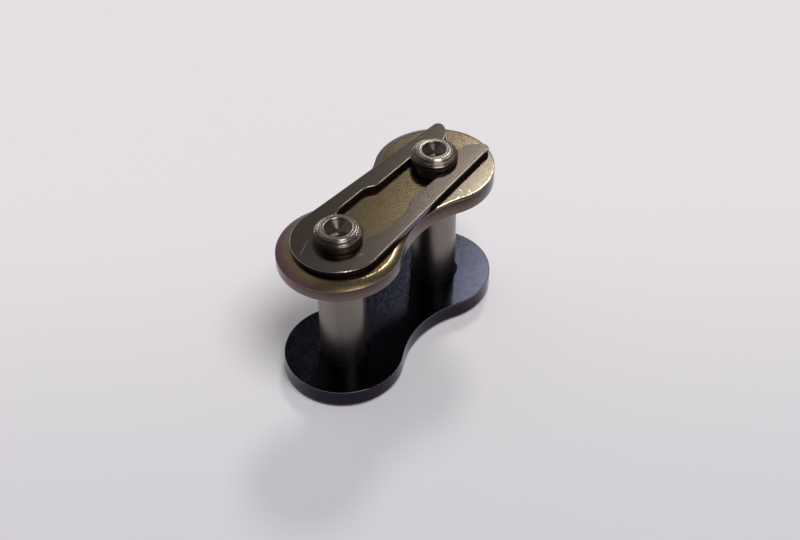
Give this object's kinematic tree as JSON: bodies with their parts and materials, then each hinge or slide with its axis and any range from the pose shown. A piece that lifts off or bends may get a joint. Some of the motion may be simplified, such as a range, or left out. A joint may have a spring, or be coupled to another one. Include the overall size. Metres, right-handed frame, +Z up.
{
  "type": "roller chain connecting link",
  "caption": "Connecting link that joins the ends of a roller chain: a pin plate with riveted pins, a slip-on cover plate and a sliding spring clip.",
  "frame": {"origin": "under the middle of the link, on the plane of the riveted pin ends that it stands on", "axes": "+X along the link from the clip's closed end to its open end, +Z up the pins from the pin plate to the clip, +Y across the plates"},
  "size_m": [0.023, 0.0102, 0.0158],
  "materials": {
    "blued_plate": "dark blued, semi-gloss",
    "turned_steel": "turned and oiled, satin",
    "straw_plate": "heat-tinted straw, satin",
    "spring_steel": "oiled spring steel, satin"
  },
  "bodies": {
    "pin_link": {"pin_plate": "blued_plate", "leading_pin": "turned_steel", "trailing_pin": "turned_steel"},
    "cover": {"cover_plate": "straw_plate"},
    "clip": {"spring_clip": "spring_steel"}
  },
  "joints": [
    {"name": "cover_slide", "type": "slide", "parent": "pin_link", "child": "cover", "axis": [0, 0, 1], "range_m": [-0.0106, 0]},
    {"name": "clip_slide", "type": "slide", "parent": "pin_link", "child": "clip", "axis": [-1, 0, 0], "range_m": [0, 0.0052], "deforming": ["spring_clip"]}
  ]
}
